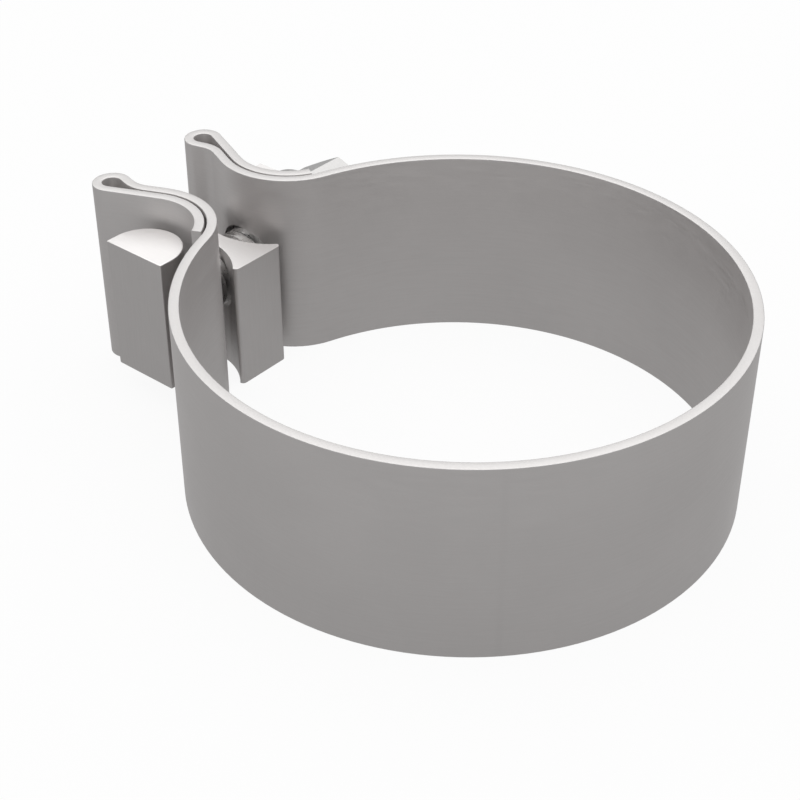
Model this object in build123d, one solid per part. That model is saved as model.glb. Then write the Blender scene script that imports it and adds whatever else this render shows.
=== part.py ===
from build123d import *
import os
from math import asin, cos, degrees, radians, sin, sqrt

# Exhaust band clamp for a lap joint, in its open state. Millimetres, +Z along the pipe.
# The pipe's axis is the Z axis, and the strap's lower edge lies in the plane z = 0.
# The gap between the two ears faces +X. The bolt runs along Y, with its head on the +Y side.

# Strap
band_inner_radius = 40.76
band_width = 31.75
sheet_thickness = 1.57

# Ears: the strap bends back over a clamping bar's pocket, is hemmed at the tip and folded inside
ear_gap = 9.86  # where the ears come nearest to each other
pocket_bend_radius = 10.67  # inside of the bend, on the side of the bars
flank_angle = 24.0  # of the ear's flank to the X axis
flank_length = 9.38
hem_inner_radius = 1.52
hem_turn = 39.5
hem_blend_radius = 5.08
fold_gap = 0.38  # between the strap and its folded end
fold_wrap = 87.0  # how far the folded end follows the bend round the pocket

# T-bolt
bolt_radius = 5.0
bolt_end_chamfer = 0.9
bolt_past_nut = 6.0
head_radius = 6.05
head_side_depth = 2.33
head_length = 22.8
head_play = 1.7  # from the head to its seat in the near pocket

# Saddle bar, washer and nut on the threaded end
saddle_radius = 8.0
saddle_side_depth = 0.2
saddle_length = 19.4
saddle_hole_clearance = 0.5
seat_clearance = 1.4  # from the saddle bar to its seat in the far pocket
washer_radius = 10.0
washer_thickness = 2.0
washer_hole_clearance = 0.25
nut_wall = 3.0  # from the thread to the flats
nut_height = 9.8
nut_thread_clearance = 0.05
nut_countersink = 0.6
nut_corner_angle = 30.0  # of the conical cut that rounds the hexagon's corners
nut_face_margin = 0.4  # from the flats in to where that cut starts on each face

# Spacer block, loose on the bolt between the ears
spacer_bore_clearance = 0.2  # from the pipe's space to the block
spacer_length = 19.0
spacer_thickness = 10.2
spacer_waist = 2.8
spacer_edge_radius = 0.7
spacer_roof = 0.8  # over its bolt hole
spacer_hole_clearance = 0.6
spacer_sag = 0.4  # how far the block hangs below the bolt's own height
spacer_slip = 0.318  # how far it has slipped outwards on the bolt
spacer_shift = 0.6  # how far it stands from the middle of the gap, towards the head

ear_hole_clearance = 0.75

# Places that follow from the sizes above
ring_radius = band_inner_radius + sheet_thickness / 2
outer_bend = pocket_bend_radius + sheet_thickness / 2
ear_surface_radius = pocket_bend_radius + sheet_thickness
folded_bend = pocket_bend_radius - fold_gap - sheet_thickness / 2
pocket_radius = folded_bend - sheet_thickness / 2
ear_y = ear_gap / 2 + ear_surface_radius
gap_half_angle = degrees(asin(ear_y / (ring_radius + outer_bend)))  # from the X axis to the round part
ear_x = (ring_radius + outer_bend) * cos(radians(gap_half_angle))
pocket_bottom = ear_y - pocket_radius
bolt_z = band_width / 2
ear_hole_radius = bolt_radius + ear_hole_clearance
head_flat_y = pocket_bottom + head_play + head_radius + head_side_depth
saddle_flat_y = -(pocket_bottom + seat_clearance + saddle_radius + saddle_side_depth)
washer_outer_y = saddle_flat_y - washer_thickness
nut_outer_y = washer_outer_y - nut_height
bolt_end_y = nut_outer_y - bolt_past_nut
spacer_middle_x = band_inner_radius + spacer_bore_clearance + spacer_length / 2
spacer_hole_x = ear_x + spacer_slip
spacer_hole_z = bolt_z - spacer_sag
spacer_height = spacer_hole_z + bolt_radius + spacer_hole_clearance + spacer_roof


def across_gap(x, y, z, radius, length):
    """A round bar along Y, centred on (x, y, z)."""
    return Pos(x, y, z) * Rot(90, 0, 0) * Cylinder(radius, length)


def folded_strip(start, heading, moves, thickness):
    """The closed outline of a sheet's edge, which runs through the given straights and bends."""
    point = Vector(*start)
    left_side, right_side = [], []
    for move in moves:
        across = Vector(-sin(radians(heading)), cos(radians(heading)))
        if move[0] == "straight":
            forward = Vector(cos(radians(heading)), sin(radians(heading)))
            end = point + forward * move[1]
            for side, offset in ((left_side, thickness / 2), (right_side, -thickness / 2)):
                side.append(Line(point + across * offset, end + across * offset))
        else:
            radius, turn = move[1:]
            sense = 1 if turn > 0 else -1
            centre = point + across * (radius * sense)
            first = heading - 90 * sense
            for side, offset in ((left_side, -sense), (right_side, sense)):
                side.append(CenterArc(centre, radius + offset * thickness / 2, first, turn))
            heading += turn
            last = radians(heading - 90 * sense)
            end = centre + Vector(cos(last), sin(last)) * radius
        point = end
    start_cap = Line(left_side[0] @ 0, right_side[0] @ 0)
    end_cap = Line(left_side[-1] @ 1, right_side[-1] @ 1)
    return Face(Wire([*left_side, end_cap, *right_side, start_cap]))


def ear_moves():
    """Straights and bends of one ear, from the round part to the folded end in the pocket."""
    hem_radius = hem_inner_radius + sheet_thickness / 2
    hem_depth = folded_bend + hem_radius
    turn = radians(hem_turn)
    drop = hem_depth + hem_radius * cos(turn) - outer_bend - hem_blend_radius * (1 - cos(turn))
    hem_straight = drop / sin(turn)
    plain_straight = flank_length - (hem_radius + hem_blend_radius) * sin(turn) - hem_straight * cos(turn)
    return [
        ("bend", outer_bend, flank_angle + 90 - gap_half_angle),
        ("straight", plain_straight),
        ("bend", hem_blend_radius, -hem_turn),
        ("straight", hem_straight),
        ("bend", hem_radius, 180 + hem_turn),
        ("straight", flank_length),
        ("bend", folded_bend, -fold_wrap),
    ]


def make_band():
    """The whole strap: both ears with their folds, and one bolt hole through both."""
    half_round = ("bend", ring_radius, -(180 - gap_half_angle))
    edge = folded_strip((-ring_radius, 0), 90, [half_round, *ear_moves()], sheet_thickness)
    half = extrude(edge, amount=band_width, dir=(0, 0, 1))
    band = half + mirror(half, about=Plane.XZ)
    return band - across_gap(ear_x, 0, bolt_z, ear_hole_radius, 2 * ear_y)


def half_round_bar(flat_y, radius, side_depth, length, toward):
    """A bar along Z with a flat back at flat_y and a round face on the toward side (+1 or -1)."""
    shoulder = flat_y + toward * side_depth
    outline = Wire(
        [
            Line((-radius, shoulder), (-radius, flat_y)),
            Line((-radius, flat_y), (radius, flat_y)),
            Line((radius, flat_y), (radius, shoulder)),
            ThreePointArc((radius, shoulder), (0, shoulder + toward * radius), (-radius, shoulder)),
        ]
    )
    bar = extrude(Face(outline), amount=length / 2, both=True, dir=(0, 0, 1))
    return Pos(ear_x, 0, bolt_z) * bar


def make_t_bolt():
    """The half-round head and its shank, forged in one. The thread is plain at its full diameter."""
    head = half_round_bar(head_flat_y, head_radius, head_side_depth, head_length, -1)
    shank_start = head_flat_y - head_side_depth
    length = shank_start - bolt_end_y
    shank = across_gap(ear_x, (shank_start + bolt_end_y) / 2, bolt_z, bolt_radius, length)
    end_edges = shank.edges().sort_by(Axis.Y)[:1]
    return head + chamfer(end_edges, bolt_end_chamfer)


def make_saddle_bar():
    """The drilled half-round bar in the far pocket."""
    bar = half_round_bar(saddle_flat_y, saddle_radius, saddle_side_depth, saddle_length, 1)
    depth = saddle_radius + saddle_side_depth
    hole_radius = bolt_radius + saddle_hole_clearance
    return bar - across_gap(ear_x, saddle_flat_y + depth / 2, bolt_z, hole_radius, 2 * depth)


def make_washer():
    """The plain washer on the saddle bar's flat back."""
    middle = saddle_flat_y - washer_thickness / 2
    disc = across_gap(ear_x, middle, bolt_z, washer_radius, washer_thickness)
    hole_radius = bolt_radius + washer_hole_clearance
    return disc - across_gap(ear_x, middle, bolt_z, hole_radius, 2 * washer_thickness)


def make_nut():
    """The hexagon nut, a corner up, rounded by a shallow cone on both faces and countersunk."""
    inner_radius = bolt_radius + nut_wall
    corner_radius = 2 * inner_radius / sqrt(3)
    face_radius = inner_radius - nut_face_margin
    hole_radius = bolt_radius + nut_thread_clearance
    corner_drop = (corner_radius - face_radius) * sin(radians(nut_corner_angle))
    blank = extrude(RegularPolygon(corner_radius, 6, rotation=90), amount=nut_height)
    profile = Polyline(
        (hole_radius, nut_countersink),
        (hole_radius + nut_countersink, 0),
        (face_radius, 0),
        (corner_radius, corner_drop),
        (corner_radius, nut_height - corner_drop),
        (face_radius, nut_height),
        (hole_radius + nut_countersink, nut_height),
        (hole_radius, nut_height - nut_countersink),
        close=True,
    )
    turned = revolve(Plane.XZ * make_face(profile), axis=Axis.Z)
    return Pos(ear_x, washer_outer_y, bolt_z) * Rot(90, 0, 0) * (blank & turned)


def make_spacer():
    """The waisted block: each hollow side has the ears' own curve, so that they nest on it."""
    hollow_y = spacer_waist / 2 + ear_surface_radius
    section = Pos(spacer_middle_x, 0) * Rectangle(spacer_length, spacer_thickness)
    for side in (1, -1):
        section -= Pos(spacer_middle_x, side * hollow_y) * Circle(ear_surface_radius)
    by_x = section.vertices().group_by(Axis.X)
    section = fillet([*by_x[0], *by_x[-1]], spacer_edge_radius)
    block = Pos(0, spacer_shift, 0) * extrude(section, amount=spacer_height)
    hole_radius = bolt_radius + spacer_hole_clearance
    return block - across_gap(spacer_hole_x, spacer_shift, spacer_hole_z, hole_radius, 2 * spacer_thickness)


pieces = {
    "exhaust_band": make_band(),
    "t_bolt": make_t_bolt(),
    "saddle_bar": make_saddle_bar(),
    "flat_washer": make_washer(),
    "hex_nut": make_nut(),
    "spacer_block": make_spacer(),
}

os.makedirs("parts", exist_ok=True)
for name, piece in pieces.items():
    export_step(piece, f"parts/{name}.step")
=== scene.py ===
from math import asin, ceil, cos, pi, radians, sin, sqrt

import bpy
from bpy.props import FloatProperty, FloatVectorProperty, IntProperty, PointerProperty
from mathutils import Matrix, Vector


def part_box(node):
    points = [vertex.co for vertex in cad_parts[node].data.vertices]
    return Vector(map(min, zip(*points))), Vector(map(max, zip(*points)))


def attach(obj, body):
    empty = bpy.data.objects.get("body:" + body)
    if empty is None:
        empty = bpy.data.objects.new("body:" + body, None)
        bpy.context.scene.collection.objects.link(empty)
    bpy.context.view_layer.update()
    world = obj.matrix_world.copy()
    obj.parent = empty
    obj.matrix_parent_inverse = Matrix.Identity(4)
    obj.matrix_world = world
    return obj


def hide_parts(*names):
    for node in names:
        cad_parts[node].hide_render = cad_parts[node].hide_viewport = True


bl_info = {
    "name": "Exhaust Band Clamp",
    "version": (1, 0, 0),
    "blender": (4, 5, 0),
    "location": "View3D > Sidebar > Clamp",
    "description": "Models a lap-joint exhaust band clamp and its studio",
    "category": "Add Mesh",
}

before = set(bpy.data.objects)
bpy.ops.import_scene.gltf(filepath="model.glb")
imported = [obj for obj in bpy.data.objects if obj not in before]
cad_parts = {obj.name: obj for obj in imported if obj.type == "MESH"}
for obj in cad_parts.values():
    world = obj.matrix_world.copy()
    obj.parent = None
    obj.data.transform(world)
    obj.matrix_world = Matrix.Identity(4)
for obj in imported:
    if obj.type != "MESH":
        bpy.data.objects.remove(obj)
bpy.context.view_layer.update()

bolt_low, bolt_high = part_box("t_bolt")
saddle_low, saddle_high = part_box("saddle_bar")
washer_low, washer_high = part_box("flat_washer")
nut_low, nut_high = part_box("hex_nut")
block_low, block_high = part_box("spacer_block")
band_low, band_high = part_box("exhaust_band")

MM = 0.001
NEAR = 1e-6  # two points nearer than this are one

# Flat sides of a whole turn: of bars and holes, of the nut's cones, and of the block's hollows
ROUND_SIDES = 96
CONE_SIDES = 144
HOLLOW_SIDES = 256

# Steps of the strap's bends: finer in the ring, the only bend that is wider than WIDE_BEND
WIDE_BEND = 20 * MM
WIDE_STEP = radians(2.5)
TIGHT_STEP = radians(6)

# Degrees between two faces, from which their edge is shaded sharp, or is broken by a bevel
STRAP_SHARP = 32
MACHINED_SHARP = 20
BROKEN_SHARP = 35

# A face whose normal lies this far along Z is the sawn end of a bar or of the block, which takes a colour
# painted lighter as painted light from overhead
END_ON = 0.9

# Cutting tools a touch larger than what they cut, so that no two faces or corners lie together
OVER_CORNERS = 1.0005
OVER_CRESTS = 1.002
NUT_CONE = radians(30)

# Bare metal: its soft clouds of tone, and its tool marks with what they do to the roughness
CLOUDS_PER_METRE = 45.0
CLOUD_TINT = 0.06
MARKS_LOW, MARKS_HIGH = 0.3, 0.7
SMOOTHER, ROUGHER = 0.05, 0.06
MARK_DEPTH = 0.03 * MM

# Studio
FLOOR_WIDTH = 6.0
PLAIN_SHARE = 0.93
SEEN_AT_ALL = 0.1
LAMP_HEIGHT = 1.2
LAMP_WIDTH = 5.0
CAMERA_PLACE = (-123.8 * MM, 163.0 * MM, 156.9 * MM)
CAMERA_DIP = 35.27
CAMERA_HEADING = -140.18
CAMERA_ANGLE = 26.97


def length(name, description, default):
    """A size in metres, as a property that the panel shows."""
    return FloatProperty(name=name, description=description, default=default, unit="LENGTH", precision=5)


def turn(name, description, degrees):
    """An angle, as a property that the panel shows in degrees."""
    return FloatProperty(name=name, description=description, default=radians(degrees), subtype="ANGLE")


def colour(name, description, default):
    """A linear colour made from an sRGB hex value."""
    return FloatVectorProperty(
        name=name, description=description, default=linear(default), size=4, subtype="COLOR", min=0, max=1
    )


def linear(code):
    """An sRGB hex colour as linear red, green, blue and alpha."""
    channels = [int(code[i:i + 2], 16) / 255 for i in (0, 2, 4)]
    return [c / 12.92 if c <= 0.04045 else ((c + 0.055) / 1.055) ** 2.4 for c in channels] + [1.0]


class ClampSizes(bpy.types.PropertyGroup):
    """Sizes of the clamp's pieces."""

    band_inner_radius: length("Band inner radius", "Radius of the bore", 40.76 * MM)
    sheet: length("Sheet", "Thickness of the strap", 1.57 * MM)
    edge_round: length("Edge round", "Radius left by deburring the strap's edges", 0.14 * MM)
    ear_gap: length("Ear gap", "Where the ears come nearest to each other", 9.86 * MM)
    pocket_bend: length("Pocket bend", "Inside radius of the ear's bend", 10.67 * MM)
    flank_angle: turn("Flank angle", "Of the ear's flank to the X axis", 24.0)
    flank_length: length("Flank length", "From the bend to the hem", 9.38 * MM)
    hem_radius: length("Hem radius", "Inside radius of the hem's loop", 1.52 * MM)
    hem_turn: turn("Hem turn", "How far the outer layer swings out to the loop", 39.5)
    hem_blend: length("Hem blend", "Radius of that swing", 5.08 * MM)
    fold_gap: length("Fold gap", "Between the strap and its folded end", 0.38 * MM)
    fold_wrap: turn("Fold wrap", "How far the folded end follows the bend", 87.0)
    ear_hole_radius: length("Ear hole radius", "Of the bolt hole in the ears", 5.75 * MM)
    bolt_radius: length("Bolt radius", "Outside radius of the thread", 5.0 * MM)
    pitch: length("Pitch", "Of the thread", 1.5 * MM)
    thread_depth: length("Thread depth", "From crest to root", 0.92 * MM)
    thread_clearance: length("Thread clearance", "Between the nut's thread and the bolt's", 0.05 * MM)
    thread_start: length("Thread start", "Where the thread begins, along Y", 6.6 * MM)
    bolt_chamfer: length("Bolt chamfer", "At the bolt's end", 0.9 * MM)
    head_side: length("Head side", "Straight side of the bolt's head", 2.33 * MM)
    saddle_side: length("Saddle side", "Straight side of the saddle bar", 0.2 * MM)
    saddle_hole_radius: length("Saddle hole radius", "Of the bar's hole", 5.5 * MM)
    washer_hole_radius: length("Washer hole radius", "Of the washer's hole", 5.25 * MM)
    nut_face_margin: length("Nut face margin", "From the flats in to where the corners are cut", 0.4 * MM)
    nut_countersink: length("Nut countersink", "Depth of the cone at each end of the nut's hole", 0.6 * MM)
    block_waist: length("Block waist", "Thickness of the block at its waist", 2.8 * MM)
    block_round: length("Block round", "Radius of the block's corners", 0.7 * MM)
    block_hole_radius: length("Block hole radius", "Of the block's hole", 5.6 * MM)
    block_sag: length("Block sag", "How far its hole hangs below the bolt's height", 0.4 * MM)
    bevel: length("Bevel", "Broken edge of bars and block", 0.18 * MM)


class ClampFinish(bpy.types.PropertyGroup):
    """Colours and grain of the clamp's metals, and the light on them."""

    strap_colour: colour("Strap colour", "Rolled stainless sheet", "C9C6C5")
    edge_colour: colour("Edge colour", "Sheared edge of the sheet", "C2C0BF")
    # Painted light: the sawn ends get a lighter colour than the bar, standing in for the overhead light on
    # the upper ends
    sawn_colour_painted_light: colour("Sawn colour", "Sawn ends of bars and block", "D6D4D3")
    bar_colour: colour("Bar colour", "Drawn stainless bar", "C5C2C1")
    fastener_colour: colour("Fastener colour", "Machined nut and washer", "B6B5B4")
    thread_colour: colour("Thread colour", "Rolled thread of the bolt", "CFCECD")
    floor_colour: colour("Floor colour", "The floor and the ground behind", "FDFDFD")
    grain_width: length(
        "Grain width", "Between rolling lines, drawn coarser than real so that they show", 0.35 * MM
    )
    mirrored_ground: FloatProperty(
        name="Mirrored ground", description="How bright the ground is where the metal mirrors it", default=0.5
    )
    lamp_brightness: FloatProperty(
        name="Lamp brightness", description="Of the wide lamp overhead, where 1 is white", default=1.35
    )
    bolt_steps: IntProperty(name="Bolt steps", description="Flat sides in a turn of the thread", default=72)


def sizes():
    """The scene's sizes, as the panel has them."""
    return bpy.context.scene.clamp_sizes


def finish():
    """The scene's colours, grain and light, as the panel has them."""
    return bpy.context.scene.clamp_finish


# Modelling helpers


def start_clean():
    """Leaves edit mode and deselects everything, because operators act on all that is selected."""
    if bpy.context.mode != "OBJECT":
        bpy.ops.object.mode_set(mode="OBJECT")
    bpy.ops.object.select_all(action="DESELECT")


def pick(obj):
    """Selects just this object and makes it active."""
    start_clean()
    obj.select_set(True)
    bpy.context.view_layer.objects.active = obj


def settle(obj, name):
    """Puts the object's place into its mesh, so that its origin is the frame's."""
    pick(obj)
    bpy.ops.object.transform_apply(location=True, rotation=True, scale=True)
    obj.name = name
    obj.data.name = name
    return obj


def apply_modifier(obj, kind, **settings):
    """Adds one modifier with its settings and applies it."""
    pick(obj)
    modifier = obj.modifiers.new(kind.title(), kind)
    for key, value in settings.items():
        setattr(modifier, key, value)
    bpy.ops.object.modifier_apply(modifier=modifier.name)
    return obj


def combine(obj, tool, operation):
    """Joins, cuts or intersects the object with a tool mesh, which is then deleted."""
    apply_modifier(obj, "BOOLEAN", object=tool, operation=operation, solver="EXACT")
    bpy.data.objects.remove(tool)
    return obj


def round_bar(name, centre, radius, span, sides=ROUND_SIDES):
    """A cylinder along Y, settled in the frame."""
    start_clean()
    bpy.ops.mesh.primitive_cylinder_add(
        vertices=sides, radius=radius, depth=span, location=centre, rotation=(pi / 2, 0, 0)
    )
    return settle(bpy.context.object, name)


def signed_volume(mesh):
    """The mesh's volume, which is negative where its faces point inwards."""
    mesh.calc_loop_triangles()
    corners = [[mesh.vertices[i].co for i in each.vertices] for each in mesh.loop_triangles]
    return sum(a.dot(b.cross(c)) for a, b, c in corners) / 6


def tidy_surface(obj, sharp_degrees, merge=True):
    """Merges doubles, turns the faces outwards and smooths all but the real edges."""
    pick(obj)
    bpy.ops.object.mode_set(mode="EDIT")
    bpy.ops.mesh.select_all(action="SELECT")
    if merge:
        bpy.ops.mesh.remove_doubles(threshold=NEAR)
    bpy.ops.mesh.normals_make_consistent(inside=False)
    bpy.ops.object.mode_set(mode="OBJECT")
    # On the bolt, the operator above turns the whole shell the wrong way
    if signed_volume(obj.data) < 0:
        bpy.ops.object.mode_set(mode="EDIT")
        bpy.ops.mesh.flip_normals()
        bpy.ops.object.mode_set(mode="OBJECT")
    bpy.ops.object.shade_smooth_by_angle(angle=radians(sharp_degrees))
    return obj


def break_edges(obj, width):
    """A narrow two-step bevel on the sharp edges only."""
    return apply_modifier(
        obj, "BEVEL", width=width, segments=2, limit_method="ANGLE", angle_limit=radians(BROKEN_SHARP)
    )


def open_for_edit(obj, kind, test):
    """Opens the object in edit mode, with only those of its edges or faces selected that pass the test.

    The select mode is set first: in vertex mode, a chosen edge would select all edges between its ends.
    """
    pick(obj)
    bpy.ops.object.mode_set(mode="EDIT")
    bpy.ops.mesh.select_mode(type=kind)
    bpy.ops.mesh.select_all(action="DESELECT")
    bpy.ops.object.mode_set(mode="OBJECT")
    for each in obj.data.edges if kind == "EDGE" else obj.data.polygons:
        each.select = test(each)
    bpy.ops.object.mode_set(mode="EDIT")


def edge_ends(obj, edge):
    """The two end points of an edge."""
    return [obj.data.vertices[i].co for i in edge.vertices]


def mark_faces(obj, test, index):
    """Gives the faces that pass the test another material slot."""
    for face in obj.data.polygons:
        if test(face):
            face.material_index = index


def hand_over(obj, body, node, slot, *materials):
    """Gives the piece its materials and its body, and hides the solid that it stands for."""
    obj.data.materials.clear()
    for material in materials:
        obj.data.materials.append(material)
    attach(obj, body)
    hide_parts(node)


# Materials


def add_node(tree, kind, settings=None, links=None):
    """Adds one node: settings for its properties and sockets, links as (its input, other node, output)."""
    node = tree.nodes.new(kind)
    for key, value in (settings or {}).items():
        if isinstance(key, int) or key in node.inputs:
            node.inputs[key].default_value = value
        else:
            setattr(node, key, value)
    for socket, other, output in links or ():
        tree.links.new(other.outputs[output], node.inputs[socket])
    return node


def new_material(name):
    """A material and its node tree, with nothing in it yet."""
    material = bpy.data.materials.new(name)
    material.use_nodes = True
    material.node_tree.nodes.clear()
    return material, material.node_tree


def worked_metal(name, base, roughness, bump, stretch, coarseness=1.0):
    """A bare metal whose tool marks run where stretch is small, and whose sheen varies softly."""
    material, tree = new_material(name)
    grain = finish().grain_width * coarseness
    place = add_node(tree, "ShaderNodeTexCoord")
    lines = add_node(
        tree, "ShaderNodeMapping", {"Scale": [s / grain for s in stretch]}, [("Vector", place, "Object")]
    )
    marks = add_node(
        tree, "ShaderNodeTexNoise", {"Scale": 1.0, "Detail": 3.0, "Roughness": 0.55},
        [("Vector", lines, "Vector")],
    )
    clouds = add_node(
        tree, "ShaderNodeTexNoise", {"Scale": CLOUDS_PER_METRE, "Detail": 4.0, "Roughness": 0.6},
        [("Vector", place, "Object")],
    )
    span = {
        "From Min": MARKS_LOW, "From Max": MARKS_HIGH,
        "To Min": roughness - SMOOTHER, "To Max": roughness + ROUGHER,
    }
    sheen = add_node(tree, "ShaderNodeMapRange", span, [("Value", marks, "Fac")])
    darker = [c * (1 - CLOUD_TINT) for c in base[:3]] + [1.0]
    lighter = [c * (1 + CLOUD_TINT) for c in base[:3]] + [1.0]
    shade = add_node(
        tree, "ShaderNodeMix", {"data_type": "RGBA", 6: darker, 7: lighter}, [(0, clouds, "Fac")]
    )
    relief = add_node(
        tree, "ShaderNodeBump", {"Strength": bump, "Distance": MARK_DEPTH}, [("Height", marks, "Fac")]
    )
    surface = add_node(
        tree, "ShaderNodeBsdfPrincipled", {"Metallic": 1.0},
        [("Base Color", shade, 2), ("Roughness", sheen, "Result"), ("Normal", relief, "Normal")],
    )
    add_node(tree, "ShaderNodeOutputMaterial", links=[("Surface", surface, "BSDF")])
    return material


def rolled_stainless_sheet():
    """Cold-rolled 304 sheet: a soft grey satin, with fine lines along the strap's length."""
    return worked_metal(
        "rolled_stainless_sheet", finish().strap_colour, roughness=0.5, bump=0.10, stretch=(0.06, 0.06, 1.0)
    )


def sheared_sheet_edge():
    """The strap's cut edge: a shade darker than the sheet, and finely pitted where it broke."""
    return worked_metal(
        "sheared_sheet_edge", finish().edge_colour, roughness=0.5, bump=0.14, stretch=(1.0, 1.0, 0.2)
    )


def drawn_stainless_bar():
    """Cold-drawn stainless bar, cut to length: satin, with faint lines along the bar."""
    return worked_metal(
        "drawn_stainless_bar", finish().bar_colour, roughness=0.45, bump=0.12, stretch=(1.0, 1.0, 0.05)
    )


def sawn_bar_end_painted_light():
    """The bar's sawn end, with straight and coarser saw lines across it, its colour painted brighter to stand
    in for the overhead light on the upper ends.
    """
    return worked_metal(
        "sawn_bar_end_painted_light", finish().sawn_colour_painted_light, roughness=0.44, bump=0.2, stretch=(0.12, 1.0, 0.12),
        coarseness=1.4,
    )


def rolled_thread_steel():
    """Thread-rolled stainless: brighter and smoother than the bar that it was rolled from."""
    return worked_metal(
        "rolled_thread_steel", finish().thread_colour, roughness=0.3, bump=0.05, stretch=(1.0, 0.3, 1.0)
    )


def machined_nut_steel():
    """Cold-formed and faced stainless nut and washer: bright, with fine turning marks."""
    return worked_metal(
        "machined_nut_steel", finish().fastener_colour, roughness=0.36, bump=0.08, stretch=(0.5, 1.0, 0.5)
    )


# Geometry of the pieces


def ear_distance():
    """From the middle of the gap to the centre of an ear's bend."""
    s = sizes()
    return s.ear_gap / 2 + s.pocket_bend + s.sheet


def ear_path():
    """The strap's path from the middle of the pipe's far side to the folded end of the near ear.

    Each step is ("straight", length) or ("bend", radius, angle), with left turns positive.
    """
    s = sizes()
    half = s.sheet / 2
    outer_bend = s.pocket_bend + half
    gap_half_angle = asin(ear_distance() / (s.band_inner_radius + half + outer_bend))
    folded_bend = s.pocket_bend - s.fold_gap - half
    hem = s.hem_radius + half
    drop = folded_bend + hem + hem * cos(s.hem_turn) - outer_bend - s.hem_blend * (1 - cos(s.hem_turn))
    slope = drop / sin(s.hem_turn)
    plain = s.flank_length - (hem + s.hem_blend) * sin(s.hem_turn) - slope * cos(s.hem_turn)
    return [
        ("bend", s.band_inner_radius + half, gap_half_angle - pi),
        ("bend", outer_bend, s.flank_angle + pi / 2 - gap_half_angle),
        ("straight", plain),
        ("bend", s.hem_blend, -s.hem_turn),
        ("straight", slope),
        ("bend", hem, pi + s.hem_turn),
        ("straight", s.flank_length),
        ("bend", folded_bend, -s.fold_wrap),
    ]


def sweep_edge_loop(path, start, heading):
    """Extrudes and spins the selected loop of edges along the path, step by step."""
    point = Vector(start)
    for step in path:
        left = Vector((-sin(heading), cos(heading), 0))
        if step[0] == "straight":
            move = Vector((cos(heading), sin(heading), 0)) * step[1]
            bpy.ops.mesh.extrude_edges_move(TRANSFORM_OT_translate={"value": move})
            point += move
        else:
            radius, angle = step[1:]
            sense = 1 if angle > 0 else -1
            centre = point + left * radius * sense
            per_step = WIDE_STEP if radius > WIDE_BEND else TIGHT_STEP
            bpy.ops.mesh.spin(
                steps=ceil(abs(angle) / per_step), angle=-angle, center=centre, axis=(0, 0, 1), dupli=False
            )
            heading += angle
            point = centre - Vector((-sin(heading), cos(heading), 0)) * radius * sense


def half_round_profile(name, x, flat_y, radius, side, toward):
    """A D-shaped face in the plane z = 0: a circle cut across, with its flat drawn back."""
    start_clean()
    shoulder = flat_y + toward * side
    bpy.ops.mesh.primitive_circle_add(
        vertices=ROUND_SIDES, radius=radius, fill_type="NGON", location=(x, shoulder, 0)
    )
    obj = settle(bpy.context.object, name)
    bpy.ops.object.mode_set(mode="EDIT")
    bpy.ops.mesh.select_all(action="SELECT")
    bpy.ops.mesh.bisect(
        plane_co=(x, shoulder, 0), plane_no=(0, toward, 0),
        clear_inner=True, clear_outer=False, use_fill=False,
    )
    open_for_edit(obj, "EDGE", lambda edge: all(abs(end.y - shoulder) < NEAR for end in edge_ends(obj, edge)))
    bpy.ops.mesh.extrude_edges_move(TRANSFORM_OT_translate={"value": (0, flat_y - shoulder, 0)})
    bpy.ops.mesh.select_all(action="SELECT")
    bpy.ops.mesh.dissolve_limited(angle_limit=radians(1))
    bpy.ops.object.mode_set(mode="OBJECT")
    return obj


def raise_profile(obj, low, high):
    """Extrudes a flat face in z = 0 into a bar from low to high."""
    pick(obj)
    bpy.ops.object.mode_set(mode="EDIT")
    bpy.ops.mesh.select_all(action="SELECT")
    bpy.ops.transform.translate(value=(0, 0, low))
    bpy.ops.mesh.extrude_region_move(TRANSFORM_OT_translate={"value": (0, 0, high - low)})
    bpy.ops.mesh.select_all(action="SELECT")
    bpy.ops.mesh.normals_make_consistent(inside=False)
    bpy.ops.object.mode_set(mode="OBJECT")
    return obj


def thread_body(name, x, z, start_y, end_y, crest, root, pitch):
    """A right-hand thread along Y as one closed solid: one pitch of its outline, screwed round.

    It is made with spare turns past both ends, which are then cut square. Two threads match where their
    ends lie a whole number of pitches apart.
    """
    start_clean()
    spare_turns = 3
    turns = ceil((start_y - end_y) / pitch) + spare_turns
    first_y = end_y - spare_turns / 2 * pitch
    bpy.ops.mesh.primitive_plane_add(size=pitch, location=(x, first_y, z))
    obj = bpy.context.object
    bpy.ops.object.mode_set(mode="EDIT")
    bpy.ops.mesh.select_mode(type="VERT")
    bpy.ops.mesh.select_all(action="SELECT")
    bpy.ops.mesh.merge(type="CENTER")
    bpy.ops.transform.translate(value=(root, 0, 0))
    crest_flat, root_flat = pitch / 8, pitch / 4  # as on a metric thread
    flank = (pitch - crest_flat - root_flat) / 2
    outline = (
        (0, root_flat),
        (crest - root, flank),
        (0, crest_flat),
        (root - crest, flank),
    )
    for outward, along in outline:
        bpy.ops.mesh.extrude_vertices_move(TRANSFORM_OT_translate={"value": (outward, along, 0)})
    bpy.ops.object.mode_set(mode="OBJECT")
    apply_modifier(
        obj, "SCREW", axis="Y", screw_offset=pitch, iterations=turns, steps=finish().bolt_steps,
        render_steps=finish().bolt_steps, use_merge_vertices=True, merge_threshold=NEAR, angle=2 * pi,
    )
    settle(obj, name)
    bpy.ops.object.mode_set(mode="EDIT")
    bpy.ops.mesh.select_all(action="SELECT")
    bpy.ops.mesh.remove_doubles(threshold=NEAR)
    for cut, direction in ((start_y, 1), (end_y, -1)):
        bpy.ops.mesh.select_all(action="SELECT")
        bpy.ops.mesh.bisect(
            plane_co=(x, cut, z), plane_no=(0, direction, 0),
            use_fill=True, clear_outer=True, threshold=NEAR / 10,
        )
    bpy.ops.mesh.select_all(action="SELECT")
    bpy.ops.mesh.normals_make_consistent(inside=False)
    bpy.ops.object.mode_set(mode="OBJECT")
    return obj


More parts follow.
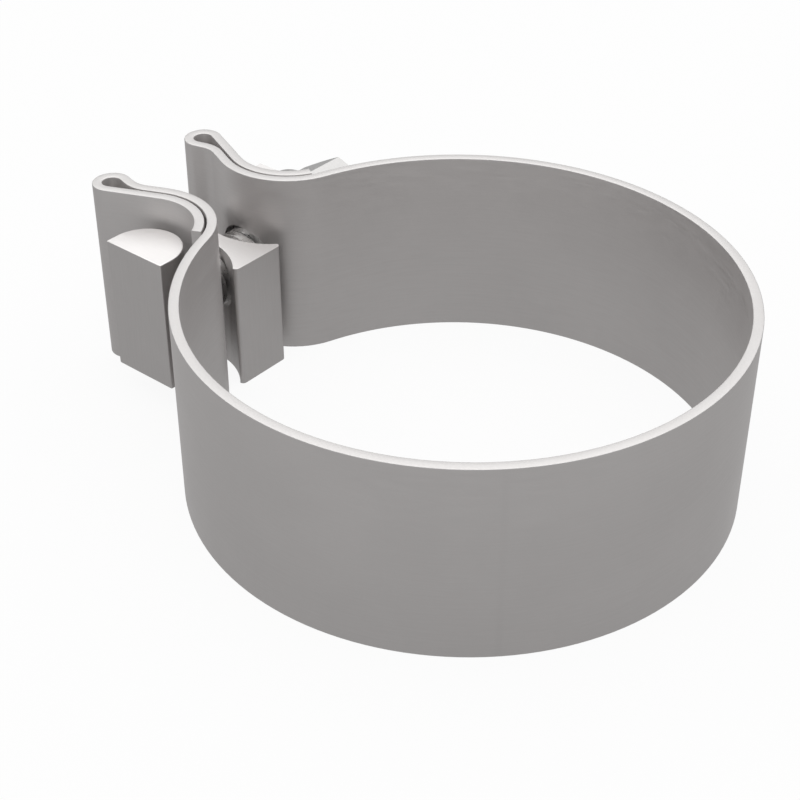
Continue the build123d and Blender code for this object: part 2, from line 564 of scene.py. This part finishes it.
def coned_blank(x, y, z, corner, face_radius, height):
    """A short round bar whose two ends are coned, from the nut's corners to its flat faces."""
    drop = (corner - face_radius) * sin(NUT_CONE)
    blank = round_bar("coned_blank", (x, y, z), corner * OVER_CORNERS, height - 2 * drop, CONE_SIDES)
    for sense in (1, -1):
        rim = y + sense * (height / 2 - drop)
        open_for_edit(blank, "FACE", lambda face: abs(face.center.y - rim) < NEAR)
        bpy.ops.mesh.extrude_region_move(TRANSFORM_OT_translate={"value": (0, sense * drop, 0)})
        bpy.ops.transform.resize(
            value=(face_radius / corner, 1, face_radius / corner), center_override=(x, rim + sense * drop, z)
        )
        bpy.ops.object.mode_set(mode="OBJECT")
    return blank


def countersink(x, end, z, radius, depth, outward):
    """A 45 degree cone that opens the nut's hole at one end, and stands a little out of it."""
    start_clean()
    spare = depth / 2
    narrow, wide = radius - 2 * depth, radius + spare
    bottom, top = (narrow, wide) if outward > 0 else (wide, narrow)
    bpy.ops.mesh.primitive_cone_add(
        vertices=ROUND_SIDES, radius1=bottom, radius2=top, depth=2 * depth + spare,
        location=(x, end + outward * (spare - 2 * depth) / 2, z), rotation=(-pi / 2, 0, 0),
    )
    return settle(bpy.context.object, "countersink")


# Operators, one for each piece and one for the stage


class CLAMP_OT_folded_band(bpy.types.Operator):
    """Strap with two hemmed ears, swept round from the pipe's far side"""

    bl_idname = "clamp.folded_band"
    bl_label = "Folded band"

    def execute(self, context):
        s = sizes()
        ring = s.band_inner_radius + s.sheet / 2
        width = band_high.z - band_low.z
        start_clean()
        bpy.ops.mesh.primitive_plane_add(size=1, location=(-ring, 0, width / 2), rotation=(pi / 2, 0, 0))
        band = bpy.context.object
        band.scale = (s.sheet, width, 1)
        settle(band, "folded_band")
        bpy.ops.object.mode_set(mode="EDIT")
        bpy.ops.mesh.select_all(action="SELECT")
        bpy.ops.mesh.bevel(affect="VERTICES", offset=s.edge_round, segments=3, offset_type="OFFSET")
        bpy.ops.mesh.delete(type="ONLY_FACE")
        bpy.ops.mesh.select_all(action="SELECT")
        sweep_edge_loop(ear_path(), (-ring, 0, 0), pi / 2)
        bpy.ops.mesh.edge_face_add()
        bpy.ops.object.mode_set(mode="OBJECT")
        apply_modifier(band, "MIRROR", use_axis=(False, True, False), use_clip=True, merge_threshold=NEAR)
        tidy_surface(band, STRAP_SHARP)
        bolt_x = (bolt_low.x + bolt_high.x) / 2
        drill = round_bar("band_drill", (bolt_x, 0, width / 2), s.ear_hole_radius, 2 * ear_distance())
        combine(band, drill, "DIFFERENCE")
        tidy_surface(band, STRAP_SHARP)
        hand_over(
            band, "band", "exhaust_band", "band_steel", rolled_stainless_sheet(), sheared_sheet_edge()
        )
        mark_faces(
            band,
            lambda face: min(face.center.z - band_low.z, band_high.z - face.center.z) < s.edge_round,
            1,
        )
        return {"FINISHED"}


class CLAMP_OT_t_bolt(bpy.types.Operator):
    """Half-round head with its threaded shank"""

    bl_idname = "clamp.t_bolt"
    bl_label = "T-bolt"

    def execute(self, context):
        s = sizes()
        x = (bolt_low.x + bolt_high.x) / 2
        z = (bolt_low.z + bolt_high.z) / 2
        head_radius = (bolt_high.x - bolt_low.x) / 2
        head = half_round_profile("t_bolt_forged", x, bolt_high.y, head_radius, s.head_side, -1)
        raise_profile(head, bolt_low.z, bolt_high.z)
        break_edges(head, s.bevel)
        shoulder = bolt_high.y - s.head_side
        overlap = s.pitch / 2
        shank_end = s.thread_start - overlap
        shank = round_bar(
            "plain_shank", (x, (shoulder + shank_end) / 2, z), s.bolt_radius, shoulder - shank_end
        )
        # The plain shank's end slopes down inside the thread's first turn
        slope = s.thread_depth * 0.6
        break_edges(shank, slope)
        root = s.bolt_radius - s.thread_depth
        thread = thread_body(
            "rolled_thread", x, z, s.thread_start, bolt_low.y, s.bolt_radius, root, s.pitch
        )
        reach = s.thread_start - bolt_low.y
        middle = s.thread_start - reach / 2
        blank = round_bar("thread_blank", (x, middle, z), s.bolt_radius * OVER_CRESTS, reach)
        open_for_edit(blank, "EDGE", lambda edge: all(end.y < middle for end in edge_ends(blank, edge)))
        bpy.ops.mesh.bevel(offset=s.bolt_chamfer, segments=1, offset_type="OFFSET")
        bpy.ops.object.mode_set(mode="OBJECT")
        combine(thread, blank, "INTERSECT")
        combine(head, shank, "UNION")
        combine(head, thread, "UNION")
        tidy_surface(head, MACHINED_SHARP, merge=False)
        hand_over(
            head, "bolt", "t_bolt", "bar_steel", drawn_stainless_bar(), sawn_bar_end_painted_light(), rolled_thread_steel()
        )
        seat = shoulder - head_radius
        # The head's upper and lower ends take the sawn colour, painted lighter as painted overhead light
        mark_faces(head, lambda face: abs(face.normal.z) > END_ON and face.center.y > seat, 1)
        mark_faces(head, lambda face: face.center.y < seat, 2)
        return {"FINISHED"}


class CLAMP_OT_saddle_bar(bpy.types.Operator):
    """Drilled half-round bar in the far pocket"""

    bl_idname = "clamp.saddle_bar"
    bl_label = "Saddle bar"

    def execute(self, context):
        s = sizes()
        x = (saddle_low.x + saddle_high.x) / 2
        radius = (saddle_high.x - saddle_low.x) / 2
        bar = half_round_profile("half_round_saddle", x, saddle_low.y, radius, s.saddle_side, 1)
        raise_profile(bar, saddle_low.z, saddle_high.z)
        middle = (saddle_low.z + saddle_high.z) / 2
        depth = saddle_high.y - saddle_low.y
        drill = round_bar("bar_drill", (x, saddle_low.y + depth / 2, middle), s.saddle_hole_radius, 2 * depth)
        combine(bar, drill, "DIFFERENCE")
        break_edges(bar, s.bevel)
        tidy_surface(bar, MACHINED_SHARP)
        hand_over(bar, "saddle", "saddle_bar", "bar_steel", drawn_stainless_bar(), sawn_bar_end_painted_light())
        # The bar's ends take the sawn colour, painted lighter as painted overhead light
        mark_faces(bar, lambda face: abs(face.normal.z) > END_ON, 1)
        return {"FINISHED"}


class CLAMP_OT_flat_washer(bpy.types.Operator):
    """Punched washer with its edges lightly broken"""

    bl_idname = "clamp.flat_washer"
    bl_label = "Flat washer"

    def execute(self, context):
        s = sizes()
        x, z = ((washer_low[i] + washer_high[i]) / 2 for i in (0, 2))
        y = (washer_low.y + washer_high.y) / 2
        thickness = washer_high.y - washer_low.y
        washer = round_bar("stamped_washer", (x, y, z), (washer_high.x - washer_low.x) / 2, thickness)
        combine(washer, round_bar("punch", (x, y, z), s.washer_hole_radius, 2 * thickness), "DIFFERENCE")
        break_edges(washer, s.bevel)
        tidy_surface(washer, MACHINED_SHARP)
        hand_over(washer, "saddle", "flat_washer", "fastener_steel", machined_nut_steel())
        return {"FINISHED"}


class CLAMP_OT_hex_nut(bpy.types.Operator):
    """Hexagon nut with coned corners and a cut thread"""

    bl_idname = "clamp.hex_nut"
    bl_label = "Hex nut"

    def execute(self, context):
        s = sizes()
        x, z = ((nut_low[i] + nut_high[i]) / 2 for i in (0, 2))
        y, height = (nut_low.y + nut_high.y) / 2, nut_high.y - nut_low.y
        corner = (nut_high.z - nut_low.z) / 2
        flat = corner * sqrt(3) / 2
        nut = round_bar("hexagon_nut", (x, y, z), corner, height, 6)
        combine(nut, coned_blank(x, y, z, corner, flat - s.nut_face_margin, height), "INTERSECT")
        tidy_surface(nut, MACHINED_SHARP)
        bore = s.bolt_radius + s.nut_countersink
        for end, outward in ((nut_high.y, 1), (nut_low.y, -1)):
            combine(nut, countersink(x, end, z, bore, s.nut_countersink, outward), "DIFFERENCE")
        # The tap is in step with the bolt's thread, two pitches in from the bolt's end
        clear = s.thread_clearance
        crest, root = s.bolt_radius + clear, s.bolt_radius - s.thread_depth + clear
        margin = 2 * s.pitch
        tap = thread_body("tap", x, z, nut_high.y + margin, bolt_low.y + margin, crest, root, s.pitch)
        combine(nut, tap, "DIFFERENCE")
        tidy_surface(nut, MACHINED_SHARP)
        hand_over(nut, "nut", "hex_nut", "fastener_steel", machined_nut_steel(), rolled_thread_steel())
        mark_faces(
            nut,
            lambda face: (face.center.x - x) ** 2 + (face.center.z - z) ** 2 < bore ** 2,
            1,
        )
        return {"FINISHED"}


class CLAMP_OT_spacer_block(bpy.types.Operator):
    """Waisted block that hangs on the bolt between the ears"""

    bl_idname = "clamp.spacer_block"
    bl_label = "Spacer block"

    def execute(self, context):
        s = sizes()
        x, y = ((block_low[i] + block_high[i]) / 2 for i in (0, 1))
        size = block_high - block_low
        start_clean()
        bpy.ops.mesh.primitive_cube_add(size=1, location=(x, y, (block_low.z + block_high.z) / 2), scale=size)
        block = settle(bpy.context.object, "waisted_spacer")
        hollow = s.pocket_bend + s.sheet
        away = s.block_waist / 2 + hollow
        for side in (1, -1):
            start_clean()
            bpy.ops.mesh.primitive_cylinder_add(
                vertices=HOLLOW_SIDES, radius=hollow, depth=2 * size.z,
                location=(x, y + side * away, size.z / 2),
            )
            combine(block, settle(bpy.context.object, "hollow_cutter"), "DIFFERENCE")
        half = size.x / 2

        def is_corner(edge):
            ends = edge_ends(block, edge)
            upright = abs(ends[0].z - ends[1].z) > size.z / 2
            return upright and all(abs(abs(end.x - x) - half) < NEAR for end in ends)

        open_for_edit(block, "EDGE", is_corner)
        bpy.ops.mesh.bevel(offset=s.block_round, segments=8, offset_type="OFFSET", clamp_overlap=True)
        bpy.ops.object.mode_set(mode="OBJECT")
        hole_z = (bolt_low.z + bolt_high.z) / 2 - s.block_sag
        drill = round_bar("block_drill", (x, y, hole_z), s.block_hole_radius, 2 * size.y)
        combine(block, drill, "DIFFERENCE")
        break_edges(block, s.bevel)
        tidy_surface(block, MACHINED_SHARP)
        hand_over(block, "spacer", "spacer_block", "bar_steel", drawn_stainless_bar(), sawn_bar_end_painted_light())
        # The block's ends take the sawn colour, painted lighter as painted overhead light
        mark_faces(block, lambda face: abs(face.normal.z) > END_ON, 1)
        return {"FINISHED"}


class CLAMP_OT_stage(bpy.types.Operator):
    """Pale floor, soft overhead light and the photograph's camera"""

    bl_idname = "clamp.stage"
    bl_label = "Stage"

    def execute(self, context):
        start_clean()
        bpy.ops.mesh.primitive_plane_add(size=FLOOR_WIDTH, location=(0, 0, 0))
        floor = settle(bpy.context.object, "floor")
        floor.data.materials.append(pale_floor())
        light_the_room(context.scene)
        place_camera(context.scene)
        return {"FINISHED"}


def seen_ground(tree):
    """How much of the plain ground a ray finds: all for the camera's, a share for a mirrored one."""
    path = add_node(tree, "ShaderNodeLightPath")
    share = finish().mirrored_ground
    mirrored = add_node(
        tree, "ShaderNodeMath", {"operation": "MULTIPLY", 1: share}, [(0, path, "Is Glossy Ray")]
    )
    first = add_node(
        tree, "ShaderNodeMath", {"operation": "MAXIMUM"}, [(0, path, "Is Camera Ray"), (1, mirrored, 0)]
    )
    return add_node(
        tree, "ShaderNodeMath", {"operation": "MAXIMUM"}, [(0, first, 0), (1, path, "Is Transmission Ray")]
    )


def pale_floor():
    """Matt white paper: most of what is seen is plain white, and the rest takes the shadow."""
    material, tree = new_material("pale_floor")
    base = finish().floor_colour
    paper = add_node(tree, "ShaderNodeBsdfDiffuse", {"Color": base})
    seen = seen_ground(tree)
    glow = add_node(tree, "ShaderNodeEmission", {"Color": base}, [("Strength", seen, 0)])
    found = add_node(tree, "ShaderNodeMath", {"operation": "GREATER_THAN", 1: SEEN_AT_ALL}, [(0, seen, 0)])
    plain_part = add_node(tree, "ShaderNodeMath", {"operation": "MULTIPLY", 1: PLAIN_SHARE}, [(0, found, 0)])
    both = add_node(
        tree, "ShaderNodeMixShader", links=[(0, plain_part, 0), (1, paper, "BSDF"), (2, glow, "Emission")]
    )
    add_node(tree, "ShaderNodeOutputMaterial", links=[("Surface", both, "Shader")])
    return material


def light_the_room(scene):
    """A plain room: white where it is seen, softer for the rest, under a wide lamp for the upper faces."""
    world = bpy.data.worlds.new("studio")
    scene.world = world
    world.use_nodes = True
    tree = world.node_tree
    tree.nodes.clear()
    ground = {"Color": finish().floor_colour}
    room = add_node(tree, "ShaderNodeBackground", ground, [("Strength", seen_ground(tree), 0)])
    add_node(tree, "ShaderNodeOutputWorld", links=[("Surface", room, "Background")])
    start_clean()
    bpy.ops.object.light_add(type="AREA", location=(0, 0, LAMP_HEIGHT))
    lamp = bpy.context.object
    lamp.name = "overhead_softbox"
    lamp.data.name = lamp.name
    lamp.data.shape = "DISK"
    lamp.data.size = LAMP_WIDTH
    # A disk lamp is as bright as white where its power is pi times its area
    lamp.data.energy = finish().lamp_brightness * pi * pi * LAMP_WIDTH ** 2 / 4
    lamp.visible_camera = False


def place_camera(scene):
    """The photograph's viewpoint, worked out from the band's rims, at the band's real size."""
    start_clean()
    bpy.ops.object.camera_add(location=CAMERA_PLACE)
    camera = bpy.context.object
    camera.name = "photograph_camera"
    camera.rotation_euler = (radians(90 - CAMERA_DIP), 0, radians(CAMERA_HEADING))
    camera.data.sensor_width = 36.0
    camera.data.angle = radians(CAMERA_ANGLE)
    camera.data.clip_start = 0.01
    scene.camera = camera
    scene.view_settings.view_transform = "Standard"


class CLAMP_PT_panel(bpy.types.Panel):
    """Lists the clamp's pieces, sizes and finishes"""

    bl_label = "Exhaust band clamp"
    bl_idname = "CLAMP_PT_panel"
    bl_space_type = "VIEW_3D"
    bl_region_type = "UI"
    bl_category = "Clamp"

    def draw(self, context):
        for operator in PIECES:
            self.layout.operator(operator.bl_idname)
        for group in (context.scene.clamp_sizes, context.scene.clamp_finish):
            box = self.layout.box()
            for name in group.__annotations__:
                box.prop(group, name)


PIECES = (
    CLAMP_OT_folded_band,
    CLAMP_OT_t_bolt,
    CLAMP_OT_saddle_bar,
    CLAMP_OT_flat_washer,
    CLAMP_OT_hex_nut,
    CLAMP_OT_spacer_block,
    CLAMP_OT_stage,
)
CLASSES = (ClampSizes, ClampFinish, *PIECES, CLAMP_PT_panel)


def register():
    for each in CLASSES:
        bpy.utils.register_class(each)
    bpy.types.Scene.clamp_sizes = PointerProperty(type=ClampSizes)
    bpy.types.Scene.clamp_finish = PointerProperty(type=ClampFinish)


def unregister():
    del bpy.types.Scene.clamp_finish
    del bpy.types.Scene.clamp_sizes
    for each in reversed(CLASSES):
        bpy.utils.unregister_class(each)


def plain(bounds):
    """A box's two corners as plain lists of numbers."""
    return [[round(float(value), 6) for value in corner] for corner in bounds]


def main():
    """Makes the clamp and its stage."""
    register()
    for operator in PIECES:
        group, name = operator.bl_idname.split(".")
        getattr(getattr(bpy.ops, group), name)()
    start_clean()


if __name__ == "__main__":
    main()
